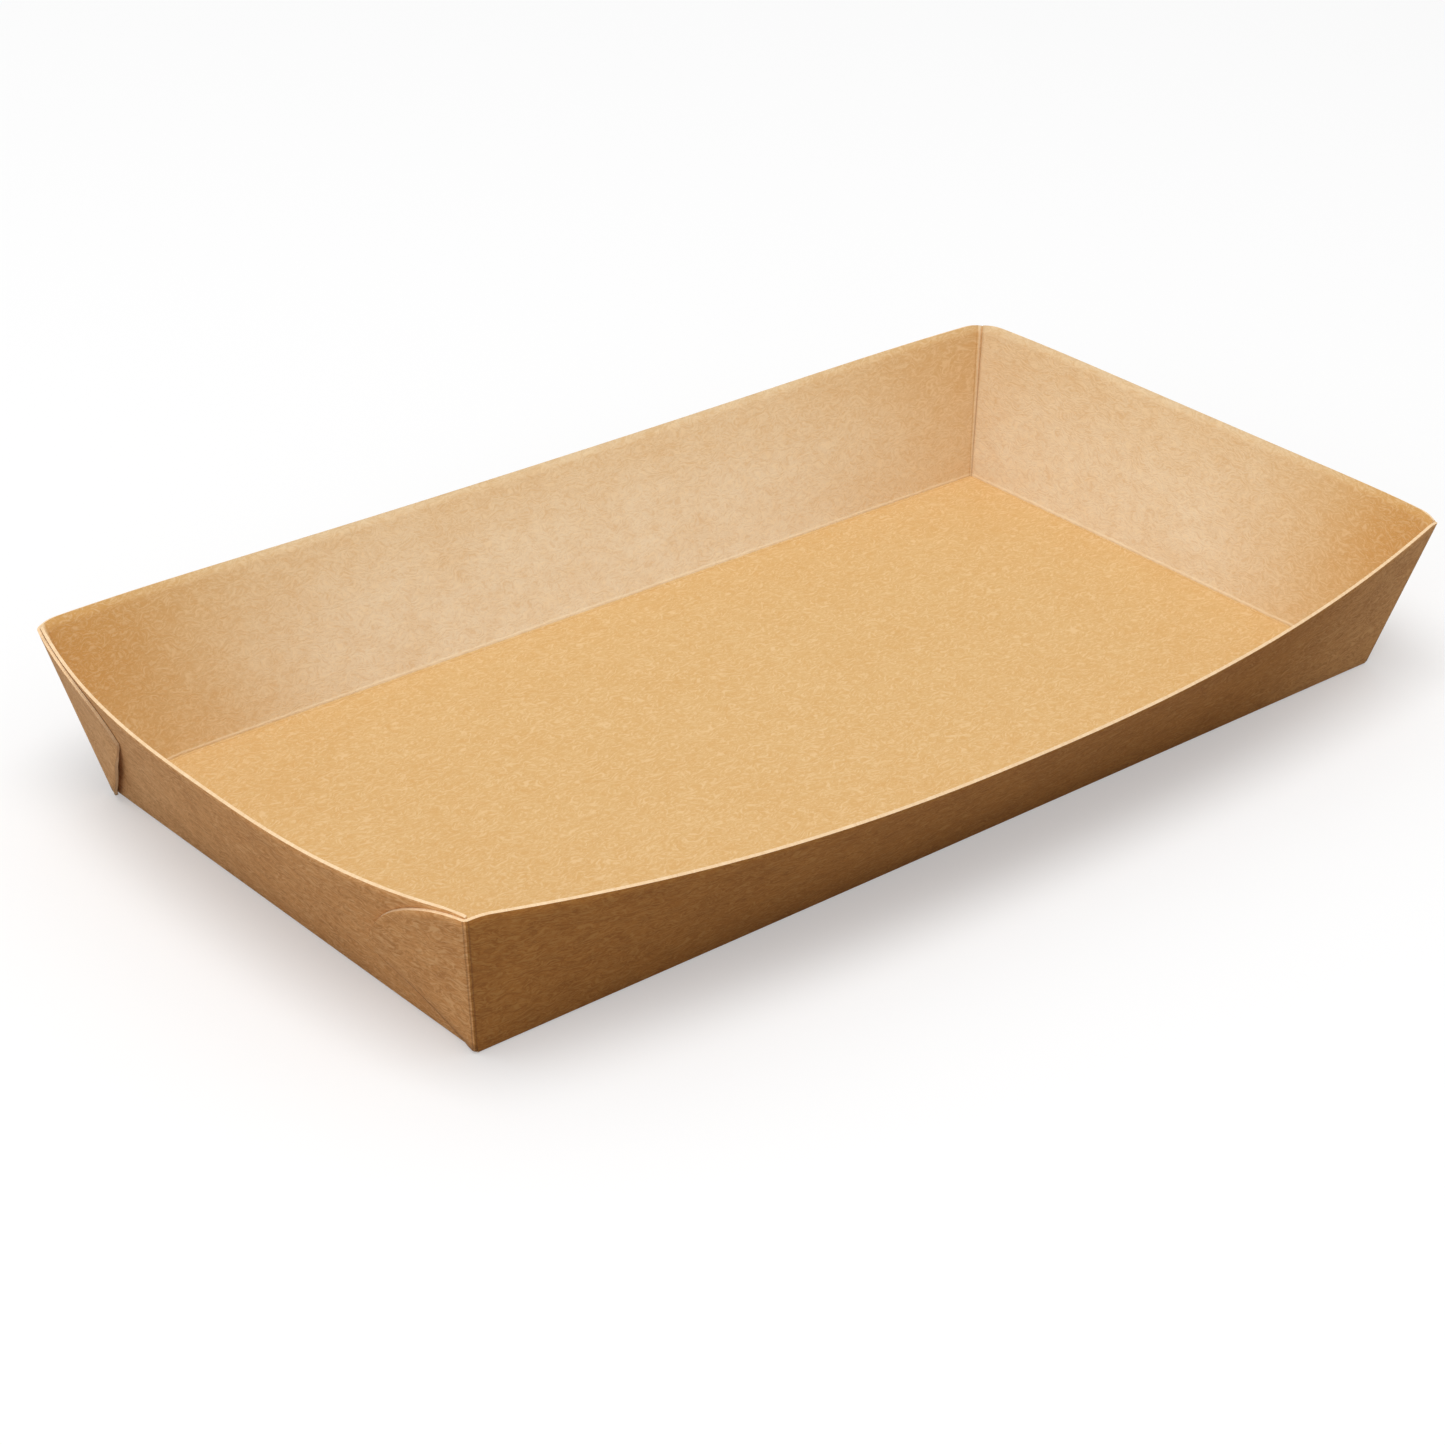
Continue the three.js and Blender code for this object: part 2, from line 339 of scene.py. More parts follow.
def carried(mesh, quarter_turns, mirror=1):
    """A copy of a folded panel, carried round to its own side of the tray and of the blank."""
    copy = mesh.copy()
    turn = Matrix.Rotation(quarter_turns * math.pi / 2, 4, "Z")
    carry = turn @ Matrix.Diagonal((mirror, 1, 1, 1))
    copy.transform(carry)
    for spot in copy.attributes["blank"].data:
        spot.vector = carry @ spot.vector
    return copy


kraft_outside = bpy.data.materials.new("kraft_outside")
kraft_inside = bpy.data.materials.new("kraft_inside")
kraft_edge = bpy.data.materials.new("kraft_edge")

last_column = HALF_LENGTH - corner_setback
last_row = HALF_WIDTH - end_wall_inset
long_stations = [-last_column, *base_columns, last_column]
end_stations = [-last_row, *base_rows[1:-1], last_row]

fold_wall = wall_folding()
long_wall = folded(
    wall_panel("long_wall", long_stations, HALF_LENGTH, HALF_WIDTH, LONG_SLANT, LONG_EAR),
    fold_wall,
    {
        "Half Length": HALF_LENGTH,
        "Crease Line": HALF_WIDTH,
        "Setback": crease_setback,
        "Middle Lean": LONG_MIDDLE_LEAN,
        "Corner Lean": LONG_CORNER_LEAN,
        "Spring": LONG_SPRING,
        "Next Lean": END_CORNER_LEAN,
        "Board": kraft_outside,
    },
)
end_wall = folded(
    wall_panel("end_wall", end_stations, HALF_WIDTH, end_crease, END_SLANT, END_EAR),
    fold_wall,
    {
        "Half Length": HALF_WIDTH,
        "Crease Line": end_crease,
        "Setback": crease_setback,
        "Middle Lean": END_MIDDLE_LEAN,
        "Corner Lean": END_CORNER_LEAN,
        "Spring": END_SPRING,
        "Next Lean": LONG_CORNER_LEAN,
        "Board": kraft_outside,
    },
)
panels += [carried(long_wall, 0), carried(long_wall, 2)]
panels += [carried(end_wall, 1), carried(end_wall, -1)]

# Corner folds and glue tabs
# The ends of each long wall, bent round the corner along a score and glued to the outside of the
# end wall. The front pair is round and pressed flat, the back pair is pointed and curls off.

FRONT_TAB = {
    "reach": 21.3 * MM,
    "tip": 13.9 * MM,
    "foot": 4 * MM,
    "nose": 4 * MM,
    "curl": -0.58 * MM,
    "curl_width": 3 * MM,
    "uncurled": 0.3,
    "crown": Vector((7, 1.2)) * MM,
    "shoulder": Vector((17, -2.2)) * MM,
}
BACK_TAB = {
    "reach": 21.6 * MM,
    "tip": 19.7 * MM,
    "foot": 2.2 * MM,
    "nose": 0.3 * MM,
    "curl": 0.95 * MM,
    "curl_width": 6 * MM,
    "uncurled": 0.4,
    "crown": Vector((10, 0.6)) * MM,
    "shoulder": Vector((24, 1.1)) * MM,
}
CURL_START = 4 * MM
CLEAR_OF_CREASE = 1 * MM
PAST_FOLD = 0.99
FOLD_COLUMNS = 6
TAB_COLUMNS = 20
NOSE_STEPS = 8

corner_rim = rim_height(HALF_LENGTH, HALF_LENGTH, LONG_SLANT, LONG_EAR)
last_rim = rim_height(last_column, HALF_LENGTH, LONG_SLANT, LONG_EAR)


def on_tab_slope(height):
    """Height up the end wall's slope of a spot at that height up the long wall's."""
    level = height * math.cos(LONG_CORNER_LEAN) + tab_out * math.sin(END_CORNER_LEAN)
    return level / math.cos(END_CORNER_LEAN)


def bezier(points, share):
    """A point on a Bezier curve with any number of control points."""
    while len(points) > 1:
        points = [a.lerp(b, share) for a, b in zip(points, points[1:])]
    return points[0]


def spaced(path, steps):
    """Points at equal distances along a path of straight pieces."""
    lengths = [0]
    for a, b in zip(path, path[1:]):
        lengths.append(lengths[-1] + (b - a).length)
    points = []
    for along in evenly(0, lengths[-1], steps)[:-1]:
        i = max(n for n in range(len(path) - 1) if lengths[n] <= along)
        share = (along - lengths[i]) / (lengths[i + 1] - lengths[i])
        points.append(path[i].lerp(path[i + 1], share))
    return [*points, path[-1]]


def tab_outline(tab):
    """The upper and the lower cut edge, as points from the corner fold to the tip."""
    top = Vector((corner_setback, on_tab_slope(corner_rim)))
    low = Vector((corner_setback, on_tab_slope(crease_setback)))
    tip = Vector((tab["reach"], tab["tip"]))
    start = Vector((0, top.y))
    curve = [top, tab["crown"] + start, tab["shoulder"] + start, tip]
    upper = [bezier(curve, share) for share in evenly(0, 1, TAB_COLUMNS)]
    foot = Vector((tab["foot"], low.y))
    free = Vector((tab["reach"], tab["tip"] - tab["nose"]))
    bevel = free + (foot - free).normalized() * tab["nose"]
    nose = [bezier([bevel, free, tip], share) for share in evenly(0, 1, NOSE_STEPS)]
    return upper, spaced([low, foot, *nose], TAB_COLUMNS)


def eased(value, start, end):
    """0 at start and 1 at end, level at both."""
    share = min(max((value - start) / (end - start), 0), 1)
    return share * share * (3 - 2 * share)


def curl_at(tab, spot, lower):
    """A spot's share of the tab's curl, which dies out away from the lower edge and at its ends."""
    from_edge, nearest = min(((spot - point).length, i) for i, point in enumerate(lower))
    along = nearest / TAB_COLUMNS
    ends = eased(spot.x, corner_setback, CURL_START) * eased(1 - along, 0, tab["uncurled"])
    return max(0, 1 - from_edge / tab["curl_width"]) * ends


def tab_panel(name, tab):
    """A tab's blank from the start of its corner fold, with the fold along x = 0."""
    columns = []
    for x in evenly(-corner_setback, corner_setback, FOLD_COLUMNS)[:-1]:
        column = []
        for y in evenly(crease_setback, corner_rim, WALL_ROWS):
            column.append(((x, y), (HALF_LENGTH + x, HALF_WIDTH + y), y, x, 0))
        columns.append(column)
    upper, lower = tab_outline(tab)
    for high, low in zip(upper, lower):
        column = []
        for share in evenly(0, 1, WALL_ROWS):
            spot = low.lerp(high, share)
            on_blank = (HALF_LENGTH + spot.x, HALF_WIDTH + spot.y)
            curl = curl_at(tab, spot, lower)
            column.append(((spot.x, spot.y), on_blank, spot.y + CLEAR_OF_CREASE, spot.x, curl))
        columns.append(column)
    return flat_panel(name, columns)


TAB_SIZES = {
    "Half Length": HALF_LENGTH,
    "Half Width": HALF_WIDTH,
    "End Crease": end_crease,
    "Setback": crease_setback,
    "Fold Setback": corner_setback,
    "Corner Rim": corner_rim,
    "Last Rim": last_rim,
    "Last Column": last_column,
    "Long Middle Lean": LONG_MIDDLE_LEAN,
    "Long Corner Lean": LONG_CORNER_LEAN,
    "Long Spring": LONG_SPRING,
    "End Middle Lean": END_MIDDLE_LEAN,
    "End Corner Lean": END_CORNER_LEAN,
    "End Spring": END_SPRING,
    "Tab Out": tab_out,
}


def tab_folding():
    """Bends a tab round the right end of the back wall and lays it along the end wall."""
    nodes, size = folding_tree("tab_folding", (*TAB_SIZES, "Curl"))
    spot = nodes.add("GeometryNodeInputPosition")
    from_fold = nodes.part(spot, "X")
    height = nodes.part(spot, "Y")
    long_lean = size["Long Corner Lean"]
    end_lean = size["End Corner Lean"]
    setback = size["Setback"]
    fold_setback = size["Fold Setback"]
    past = from_fold.math("GREATER_THAN", fold_setback * PAST_FOLD)
    turned = ((from_fold + fold_setback) / (fold_setback * 2)).clamped()

    share = (height - setback) / (size["Corner Rim"] - setback)
    wall_height = setback + share * (size["Last Rim"] - setback)
    column = size["Last Column"] / size["Half Length"]
    lean = lean_at(column, size["Long Middle Lean"], long_lean, size["Long Spring"])
    start = (
        column * (size["Half Length"] + wall_height * long_lean.cos() * end_lean.tan()),
        size["Half Width"] + wall_height * lean.sin(),
        wall_height * lean.cos(),
    )
    corner = (
        size["Half Length"] + height * long_lean.cos() * end_lean.tan(),
        size["Half Width"] + height * long_lean.sin(),
        height * long_lean.cos(),
    )

    sunk = size["Tab Out"] * end_lean.sin()
    level = (height * long_lean.cos() + sunk) / end_lean.cos()
    up = level * (1 - past) + height * past
    along = fold_setback * (1 - past) + from_fold * past
    corner_y = size["Half Width"] + (up * end_lean.cos() - sunk) * long_lean.tan()
    width_share = 1 - along / corner_y
    lean = lean_at(width_share, size["End Middle Lean"], end_lean, size["End Spring"])
    curl = nodes.add("GeometryNodeInputNamedAttribute", {"Name": "curl"}, data_type="FLOAT")
    out = size["Tab Out"] + size["Curl"] * curl
    depth = up * end_lean.cos() - out * end_lean.sin()
    end = (
        size["End Crease"] + up * lean.sin() + out * lean.cos(),
        width_share * (size["Half Width"] + depth * long_lean.tan()),
        up * lean.cos() - out * lean.sin(),
    )
    bent = []
    for a, b, c in zip(start, corner, end):
        bent.append(a * (1 - turned) ** 2 + b * turned * (1 - turned) * 2 + c * turned**2)
    return finish_folding(nodes, size, *bent)


fold_tab = tab_folding()
for name, tab, turn in (("front_tab", FRONT_TAB, 2), ("back_tab", BACK_TAB, 0)):
    sizes = {**TAB_SIZES, "Curl": tab["curl"], "Board": kraft_outside}
    corner_tab = folded(tab_panel(name, tab), fold_tab, sizes)
    panels += [carried(corner_tab, turn), carried(corner_tab, turn, -1)]

# The folded sheet
# The panels are one piece of board, so they are joined along their scores and then given the
# board's thickness inwards. Its outside, its inside and its cut edges have a finish each.

WELD = 0.01 * MM
CUT_EDGE = 2
SLIP = 3 * MM
SLIP_LENGTH = 16 * MM
SLIP_WIDTH = 45 * MM


def slipped(place):
    """Folded by hand, the foot of the back left corner has slipped in along the end wall."""
    near = eased(-place.x, HALF_LENGTH - SLIP_LENGTH, HALF_LENGTH)
    near *= eased(place.y, HALF_WIDTH - SLIP_WIDTH, HALF_WIDTH)
    return Vector((0, -SLIP * near * max(0, 1 - place.z / LONG_SLANT), 0))


def joined_sheet():
    """All panels as one skin on the board's outer face, facing outwards."""
    sheet = bmesh.new()
    for panel in panels:
        sheet.from_mesh(panel)
    bmesh.ops.remove_doubles(sheet, verts=sheet.verts, dist=WELD)
    bmesh.ops.recalc_face_normals(sheet, faces=sheet.faces)
    bottom = min(sheet.faces, key=lambda face: face.calc_center_median().length)
    if bottom.normal.z > 0:
        bmesh.ops.reverse_faces(sheet, faces=sheet.faces)
    for spot in sheet.verts:
        spot.co += slipped(spot.co)
    mesh = bpy.data.meshes.new("kraft_sheet")
    sheet.to_mesh(mesh)
    sheet.free()
    mesh.materials.clear()
    for finish in (kraft_outside, kraft_inside, kraft_edge):
        mesh.materials.append(finish)
    return mesh


def thickened(mesh):
    """The sheet with its real thickness, as a plain mesh."""
    skin = bpy.data.objects.new("kraft_skin", mesh)
    bpy.context.scene.collection.objects.link(skin)
    board = skin.modifiers.new("board", "SOLIDIFY")
    board.thickness = BOARD
    board.offset = -1
    board.use_even_offset = True
    board.material_offset = 1
    board.material_offset_rim = CUT_EDGE
    solid = settled(skin)
    for face in solid.polygons:
        face.use_smooth = face.material_index != CUT_EDGE
    for spot in solid.vertices:
        spot.co = [min(max(v, low), high) for v, low, high in zip(spot.co, *cad_box)]
    return solid


tray = bpy.data.objects.new("kraft_tray", thickened(joined_sheet()))
bpy.context.scene.collection.objects.link(tray)
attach(tray, "root")
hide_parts("folded_tray")

# Kraft finish
# Unbleached pulp pressed into board: matt and cloudy, with pale and dark curled strands drawn out
# along each wall. The scores are crushed on the outside and stand up as beads on the inside, their
# pale colour partly a painted highlight.


def linear(red, green, blue):
    """A colour as the eye sees it, written 0 to 255, in the shader's own values."""
    parts = [channel / 255 for channel in (red, green, blue)]
    return (*[((c + 0.055) / 1.055) ** 2.4 if c > 0.04045 else c / 12.92 for c in parts], 1)


INSIDE_TONE = linear(215, 175, 117)
INSIDE_PALE = linear(241, 212, 168)
INSIDE_DARK = linear(205, 154, 86)
# Painted light: the paler colour painted onto the inner walls, so they read lighter than the base.
PAINTED_WALL_LIGHT = linear(230, 209, 178)
# Painted shade: the darker, more orange colour painted into the tops of the inside corners.
PAINTED_CORNER_SHADE = linear(208, 156, 90)
# The beads' pale colour: partly the raised bead, partly a painted highlight along it.
INSIDE_BEAD_AND_HIGHLIGHT = linear(246, 224, 188)
INSIDE_SCORE = linear(186, 132, 72)
OUTSIDE_TONE = linear(226, 162, 98)
OUTSIDE_PALE = linear(248, 200, 142)
OUTSIDE_DARK = linear(166, 108, 56)
# Painted light: a paler outside colour where more light falls, at the back of the end walls and the
# right of the long walls.
OUTSIDE_PAINTED_LIGHT = linear(240, 200, 152)
OUTSIDE_SCORE = linear(110, 66, 34)
# Painted shade: multiplied into the outside of the long walls, so they read darker than the end
# walls.
LONG_WALL_PAINTED_SHADE = linear(203, 187, 146)
EDGE_TONE = linear(242, 210, 168)
EDGE_PALE = linear(248, 224, 188)
EDGE_DARK = linear(220, 178, 128)
CLOUD = 12 * MM
MOTTLE = 2.2 * MM
STRAND = 0.45 * MM
FINE_STRAND = 0.26 * MM
FINE_SHARE = 0.8
STRAND_LENGTH = 4
STRAND_BEND = 7
STRAND_SWERVE = 14
LIGHT_STRANDS = (0.48, 0.70)
DARK_STRANDS = (0.50, 0.30)
FINE_LIGHT_STRANDS = (0.50, 0.72)
FINE_DARK_STRANDS = (0.48, 0.28)
CLOUD_PATCHES = (0.35, 2)
MOTTLE_PATCHES = (0.42, 4)
CLOUD_SHARE = 0.3
MOTTLE_SHARE = 0.2
DARK_SHARE = 0.32
LIGHT_SHARE = 0.42
STRAND_RISE = 0.04
PULP_RISE = 0.03
SCORE_WANDER = 0.3 * MM
WANDER_LENGTH = 5 * MM
WALL_START = (0, 0.6 * MM)
# Spread of the painted light on the inner walls, and how much it is dulled.
PALE_FROM_LEFT = (-98 * MM, -40 * MM)
PALE_TO_RIGHT = (40 * MM, 96 * MM)
PALE_FROM_FRONT = (-50 * MM, -5 * MM)
UP_TO_RIM = (8 * MM, 32 * MM)
DULLED = 0.45
CORNER_SHADE_TO_CORNER = (-40 * MM, -2 * MM)
CORNER_SHADE_UPWARDS = (4 * MM, 24 * MM)
CORNER_SHADE_SHARE = 0.9
PAINTED_LIGHT_TO_BACK = (-20 * MM, 60 * MM)
PAINTED_LIGHT_TO_RIGHT = (50 * MM, 98 * MM)
BACK_PAINTED_LIGHT = 0.4
RIGHT_PAINTED_LIGHT = 0.28
RIGHT_SHADE_LIFT = 0.5
SCORE_PLACE = 0.45 * MM
SCORE_WIDTH = 0.22 * MM
BEAD_PLACE = 0.75 * MM
BEAD_WIDTH = 0.3 * MM
CORNER_BEAD_PLACE = 0.9 * MM
CORNER_BEAD_WIDTH = 0.5 * MM
CORNER_SCORE_PLACE = 1.5 * MM
CREASE_FOOT = 0.6
CORNER_FOOT = 0.7
BEAD_AND_HIGHLIGHT_SHARE = 0.6
FOOT_SHARE = 0.6
SCORE_SHARE = 0.45
INSIDE_RELIEF = 0.4
OUTSIDE_RELIEF = 0.6
BEAD_RISE = 0.05
FOOT_DROP = 0.03
SCORE_DROP = 0.06
BOARD_ROUGHNESS = 0.86
STRAND_SHINE = 0.08
BOARD_SPECULAR = 0.3
BUMP_STRENGTH = 0.8


def new_finish(material):
    """An empty material tree with a board shader wired to its output."""
    material.use_nodes = True
    nodes = Nodes(material.node_tree)
    material.node_tree.nodes.clear()
    shader = nodes.tree.nodes.new("ShaderNodeBsdfPrincipled")
    last = nodes.tree.nodes.new("ShaderNodeOutputMaterial")
    nodes.tree.links.new(shader.outputs[0], last.inputs[0])
    return nodes, shader


def noise(nodes, point, size, seed, detail):
    """Noise from 0 to 1 with patches of that size in metres."""
    moved = nodes.vector("ADD", point, (0, 0, seed * size))
    return nodes.add("ShaderNodeTexNoise", {"Vector": moved, "Scale": 1 / size, "Detail": detail})


def patches(cloudy, start, contrast):
    """The part of a noise above start, sharpened by contrast and kept between 0 and 1."""
    return ((cloudy - start) * contrast).clamped()


def strands(nodes, point, width, seed):
    """Curled strands of pulp that lie along the point's x, from 0 dark to 1 light."""
    wide = {"Vector": point, "Scale": 1 / (width * STRAND_BEND), "Detail": 1}
    swerve = nodes.vector("SUBTRACT", nodes.add("ShaderNodeTexNoise", wide, "Color"), (0.5,) * 3)
    swerve = nodes.vector("MULTIPLY", swerve, (width * STRAND_SWERVE,) * 3)
    drawn = nodes.vector("MULTIPLY", nodes.vector("ADD", point, swerve), (1 / STRAND_LENGTH, 1, 1))
    return noise(nodes, drawn, width, seed, detail=1)


def mixed(nodes, share, first, second, blend="MIX"):
    """One colour over another by a share."""
    colours = {0: share, 6: first, 7: second}
    settings = {"data_type": "RGBA", "blend_type": blend, "clamp_factor": True}
    return nodes.add("ShaderNodeMix", colours, 2, **settings)


def ridge(distance, place, half_width):
    """1 along a line at that distance from a fold, falling to 0 at half_width beside it."""
    return (1 - abs(distance - place) / half_width).clamped()


class Sheet:
    """Wires to what every spot of the board knows about its place on the blank."""

    def __init__(self, nodes):
        self.blank = nodes.add("ShaderNodeAttribute", {}, "Vector", attribute_name="blank")
        self.x = nodes.part(self.blank, "X")
        self.y = nodes.part(self.blank, "Y")
        wander = noise(nodes, self.blank, WANDER_LENGTH, seed=61, detail=2)
        wander = (wander - 0.5) * SCORE_WANDER
        self.crease = nodes.add("ShaderNodeAttribute", {}, "Fac", attribute_name="crease") + wander
        self.corner = nodes.add("ShaderNodeAttribute", {}, "Fac", attribute_name="corner") + wander
        beyond_end = abs(self.x).math("GREATER_THAN", end_crease)
        beyond_side = abs(self.y).math("GREATER_THAN", HALF_WIDTH)
        self.on_end = beyond_end * (1 - beyond_side)
        self.on_long = beyond_side * self.corner.math("LESS_THAN", 0)


def kraft(nodes, shader, sheet, colours, stretch, strength):
    """Board in a tone, a pale and a dark colour, strands along the wall. Its colour and height."""
    tone, pale, dark = colours
    turn = (sheet.y - sheet.x) * sheet.on_end
    point = nodes.xyz((sheet.x + turn) / (1 + stretch), sheet.y - turn, 0)
    clouds = patches(noise(nodes, sheet.blank, CLOUD, seed=1, detail=3), *CLOUD_PATCHES)
    mottle = noise(nodes, point, MOTTLE, seed=2, detail=3)
    coarse = strands(nodes, point, STRAND, seed=4)
    fine = strands(nodes, point, FINE_STRAND, seed=15)
    fine_light = nodes.smooth(fine, *FINE_LIGHT_STRANDS) * FINE_SHARE
    fine_shade = nodes.smooth(fine, *FINE_DARK_STRANDS) * FINE_SHARE
    light = nodes.smooth(coarse, *LIGHT_STRANDS).math("MAXIMUM", fine_light)
    shade = nodes.smooth(coarse, *DARK_STRANDS).math("MAXIMUM", fine_shade)
    colour = mixed(nodes, clouds * CLOUD_SHARE * strength, tone, dark)
    mottled = patches(mottle, *MOTTLE_PATCHES) * MOTTLE_SHARE * strength
    colour = mixed(nodes, mottled, colour, dark)
    colour = mixed(nodes, shade * DARK_SHARE * strength, colour, dark)
    colour = mixed(nodes, light * LIGHT_SHARE * strength, colour, pale)
    rough = BOARD_ROUGHNESS - light * STRAND_SHINE
    nodes.tree.links.new(rough.socket, shader.inputs["Roughness"])
    shader.inputs["Specular IOR Level"].default_value = BOARD_SPECULAR
    return colour, light * STRAND_RISE + (mottle - shade) * PULP_RISE


def finish_kraft(nodes, shader, colour, height):
    """Wires the colour, and the height in millimetres as a bump."""
    nodes.tree.links.new(colour.socket, shader.inputs["Base Color"])
    inputs = {"Strength": BUMP_STRENGTH, "Distance": MM, "Height": height}
    bump = nodes.add("ShaderNodeBump", inputs)
    nodes.tree.links.new(bump.socket, shader.inputs["Normal"])


def finish_inside():
    """The food side: painted light makes the walls paler than the base, and painted shade makes the
    tops of the corners warmer.
    """
    nodes, shader = new_finish(kraft_inside)
    sheet = Sheet(nodes)
    # Painted light on the inner walls: less near the long walls' ends, on the front of the end
    # walls and towards the rim.
    wall = nodes.smooth(sheet.crease, *WALL_START)
    right_share = 1 - nodes.smooth(sheet.x, *PALE_TO_RIGHT) * DULLED
    long_share = nodes.smooth(sheet.x, *PALE_FROM_LEFT) * right_share
    end_share = nodes.smooth(sheet.y, *PALE_FROM_FRONT)
    painted_light_share = long_share * (1 - sheet.on_end) + end_share * sheet.on_end
    low = 1 - nodes.smooth(sheet.crease, *UP_TO_RIM) * DULLED
    tone = mixed(nodes, wall * painted_light_share * low, INSIDE_TONE, PAINTED_WALL_LIGHT)
    # Painted shade at the tops of the inside corners, where the painted light on the walls is
    # absent.
    corner_shade = wall * nodes.smooth(sheet.corner, *CORNER_SHADE_TO_CORNER) * (1 - painted_light_share)
    corner_shade = corner_shade * nodes.smooth(sheet.crease, *CORNER_SHADE_UPWARDS)
    tone = mixed(nodes, corner_shade * CORNER_SHADE_SHARE, tone, PAINTED_CORNER_SHADE)
    colours = (tone, INSIDE_PALE, INSIDE_DARK)
    colour, height = kraft(nodes, shader, sheet, colours, stretch=0.3, strength=0.85)
    bead = ridge(sheet.crease, BEAD_PLACE, BEAD_WIDTH)
    corner_bead = ridge(sheet.corner, -CORNER_BEAD_PLACE, CORNER_BEAD_WIDTH)
    bead = bead.math("MAXIMUM", corner_bead * sheet.on_long)
    foot = ridge(sheet.crease, -BEAD_PLACE, SCORE_WIDTH) * CREASE_FOOT
    corner_foot = ridge(sheet.corner, -CORNER_SCORE_PLACE, SCORE_WIDTH) * CORNER_FOOT
    foot = foot.math("MAXIMUM", corner_foot * sheet.on_long)
    # The beads' pale colour is partly a painted highlight on the raised crease; their rise is the
    # bump below.
    colour = mixed(nodes, bead * BEAD_AND_HIGHLIGHT_SHARE, colour, INSIDE_BEAD_AND_HIGHLIGHT)
    colour = mixed(nodes, foot * FOOT_SHARE, colour, INSIDE_SCORE)
    relief = height * INSIDE_RELIEF + bead * BEAD_RISE - foot * FOOT_DROP
    finish_kraft(nodes, shader, colour, relief)


def finish_outside():
    """The outer face, with painted shade on the long walls, painted light at the back of the end
    walls and the right of the long walls, and a double crushed line at each corner fold.
    """
    nodes, shader = new_finish(kraft_outside)
    sheet = Sheet(nodes)
    # Painted light, not fading: paler towards the back of the end walls and the right ends of the
    # long walls.
    to_back = nodes.smooth(sheet.y, *PAINTED_LIGHT_TO_BACK) * (1 - sheet.on_long)
    to_right = nodes.smooth(sheet.x, *PAINTED_LIGHT_TO_RIGHT) * sheet.on_long
    painted_light = to_back * BACK_PAINTED_LIGHT + to_right * RIGHT_PAINTED_LIGHT
    tone = mixed(nodes, painted_light, OUTSIDE_TONE, OUTSIDE_PAINTED_LIGHT)
    colours = (tone, OUTSIDE_PALE, OUTSIDE_DARK)
    colour, height = kraft(nodes, shader, sheet, colours, stretch=0.6, strength=1.15)
    # Painted shade on the long outer walls, lifted towards their right ends.
    painted_shade = sheet.on_long - to_right * RIGHT_SHADE_LIFT
    colour = mixed(nodes, painted_shade, colour, LONG_WALL_PAINTED_SHADE, "MULTIPLY")
    scores = ridge(sheet.corner, -SCORE_PLACE, SCORE_WIDTH)
    scores = scores.math("MAXIMUM", ridge(sheet.corner, SCORE_PLACE, SCORE_WIDTH))
    colour = mixed(nodes, scores * SCORE_SHARE, colour, OUTSIDE_SCORE)
    finish_kraft(nodes, shader, colour, height * OUTSIDE_RELIEF - scores * SCORE_DROP)


def finish_edge():
    """The cut edge, where the pale core of the board shows."""
    nodes, shader = new_finish(kraft_edge)
    colours = (EDGE_TONE, EDGE_PALE, EDGE_DARK)
    colour, height = kraft(nodes, shader, Sheet(nodes), colours, stretch=0, strength=0.8)
    finish_kraft(nodes, shader, colour, height)


finish_inside()
finish_outside()
finish_edge()

# Table top, lights and camera
# A plain white sweep under the tray. It is lit from above by one large soft lamp, from the left
# by a smaller weak one, and from all round by a plain white room.

FLOOR_SIZE = 6
FLOOR_GLOW = 0.36
FLOOR_SEEN = 0.92
FLOOR_BOUNCE = 0.4
FLOOR_ROUGHNESS = 0.9
ROOM_LIGHT = 0.57
LAMP_SIZE = 1.5
LAMP_PLACE = Vector((-0.4, -0.2, 2.08))
LAMP_POWER = 27.4
SIDE_LAMP_SIZE = 0.8
SIDE_LAMP_PLACE = Vector((-1.6, -0.5, 0.5))
SIDE_LAMP_POWER = 2.5
WHITE = (1, 1, 1, 1)
CAMERA_PLACE = Vector((-356.08, -385.39, 285.53)) * MM
CAMERA_AZIMUTH = math.radians(-41.998)
CAMERA_ELEVATION = math.radians(28.598)
CAMERA_ROLL = math.radians(2.028)
CAMERA_LENS = 87.03
CAMERA_SENSOR = 36
CAMERA_NEAR = 0.01

floor_mesh = bpy.data.meshes.new("table_top")
floor_end = FLOOR_SIZE / 2
floor_corners = [(x * floor_end, y * floor_end, 0) for x, y in ((-1, -1), (1, -1), (1, 1), (-1, 1))]
floor_mesh.from_pydata(floor_corners, [], [(0, 1, 2, 3)])
floor = bpy.data.objects.new("table_top", floor_mesh)
bpy.context.scene.collection.objects.link(floor)

table_white = bpy.data.materials.new("table_white")
nodes, shader = new_finish(table_white)
seen = nodes.add("ShaderNodeLightPath", {}, "Is Camera Ray")
bounced, straight = [(grey, grey, grey, 1) for grey in (FLOOR_BOUNCE, FLOOR_SEEN)]
nodes.tree.links.new(mixed(nodes, seen, bounced, straight).socket, shader.inputs["Base Color"])
shader.inputs["Roughness"].default_value = FLOOR_ROUGHNESS
shader.inputs["Specular IOR Level"].default_value = 0
glow = nodes.add("ShaderNodeEmission", {"Color": WHITE, "Strength": 1})
lit = {0: seen * FLOOR_GLOW, 1: Wire(nodes, shader.outputs[0]), 2: glow}
lifted = nodes.add("ShaderNodeMixShader", lit)
nodes.tree.links.new(lifted.socket, nodes.tree.nodes["Material Output"].inputs[0])
floor_mesh.materials.append(table_white)

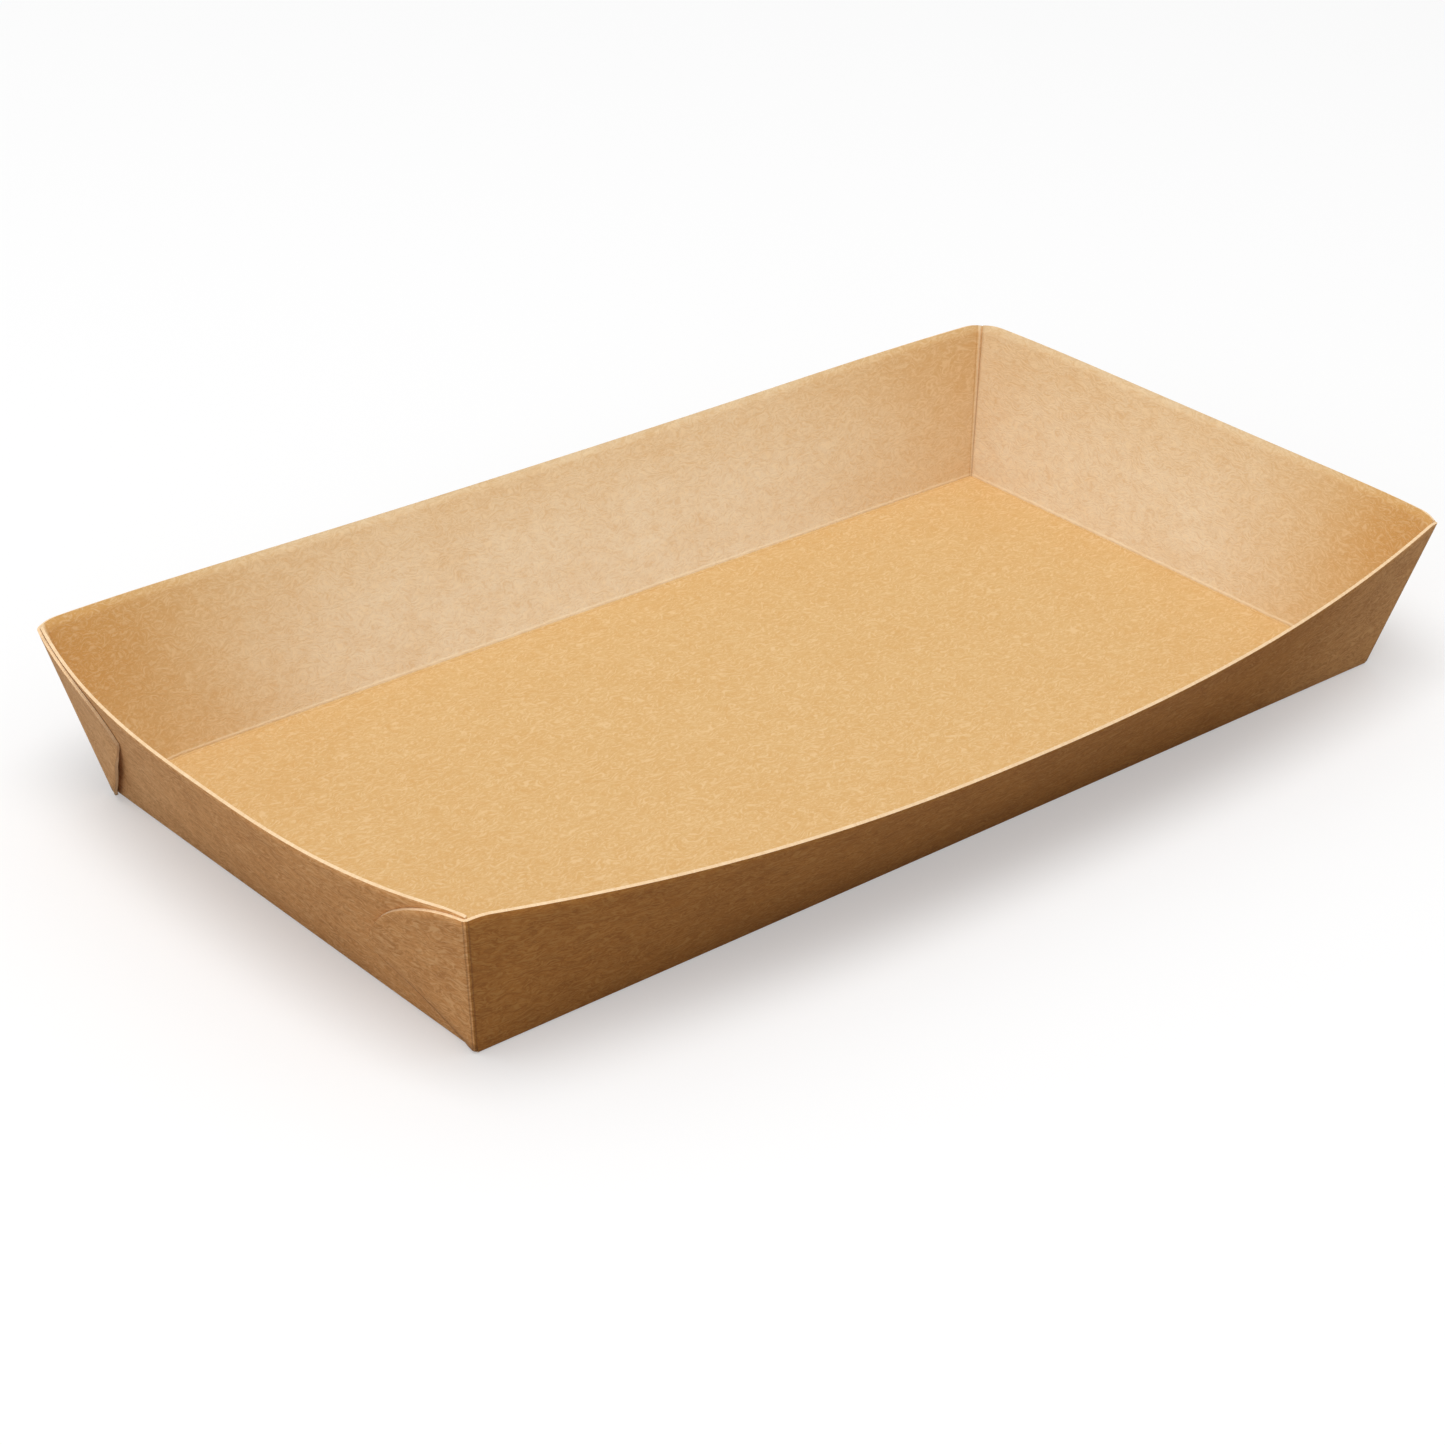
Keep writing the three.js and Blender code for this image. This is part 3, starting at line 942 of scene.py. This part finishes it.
room = bpy.data.worlds.new("white_room")
bpy.context.scene.world = room
room.use_nodes = True
room.node_tree.nodes.clear()
nodes = Nodes(room.node_tree)
seen = nodes.add("ShaderNodeLightPath", {}, "Is Camera Ray")
for ray in ("Is Glossy Ray", "Is Transmission Ray"):
    seen = seen.math("MAXIMUM", nodes.add("ShaderNodeLightPath", {}, ray))
strength = ROOM_LIGHT + seen * (1 - ROOM_LIGHT)
light = nodes.add("ShaderNodeBackground", {"Color": WHITE, "Strength": strength})
last = room.node_tree.nodes.new("ShaderNodeOutputWorld")
room.node_tree.links.new(light.socket, last.inputs[0])


def soft_lamp(name, place, size, power):
    """A square lamp that faces the tray."""
    light = bpy.data.lights.new(name, "AREA")
    light.shape = "SQUARE"
    light.size = size
    light.energy = power
    lamp = bpy.data.objects.new(name, light)
    lamp.location = place
    lamp.rotation_euler = (-place).to_track_quat("-Z", "Y").to_euler()
    bpy.context.scene.collection.objects.link(lamp)


soft_lamp("top_lamp", LAMP_PLACE, LAMP_SIZE, LAMP_POWER)
soft_lamp("side_lamp", SIDE_LAMP_PLACE, SIDE_LAMP_SIZE, SIDE_LAMP_POWER)

away = math.cos(CAMERA_ELEVATION)
back = Vector(
    (
        math.sin(CAMERA_AZIMUTH) * away,
        -math.cos(CAMERA_AZIMUTH) * away,
        math.sin(CAMERA_ELEVATION),
    )
)
level = (-back).cross(Vector((0, 0, 1))).normalized()
upright = level.cross(-back)
right = level * math.cos(CAMERA_ROLL) + upright * math.sin(CAMERA_ROLL)
above = upright * math.cos(CAMERA_ROLL) - level * math.sin(CAMERA_ROLL)
camera_data = bpy.data.cameras.new("camera")
camera_data.sensor_width = CAMERA_SENSOR
camera_data.lens = CAMERA_LENS
camera_data.clip_start = CAMERA_NEAR
camera = bpy.data.objects.new("camera", camera_data)
turned = Matrix((right, above, back)).transposed().to_4x4()
camera.matrix_world = Matrix.Translation(CAMERA_PLACE) @ turned
bpy.context.scene.collection.objects.link(camera)
bpy.context.scene.camera = camera
bpy.context.scene.view_settings.view_transform = "Standard"
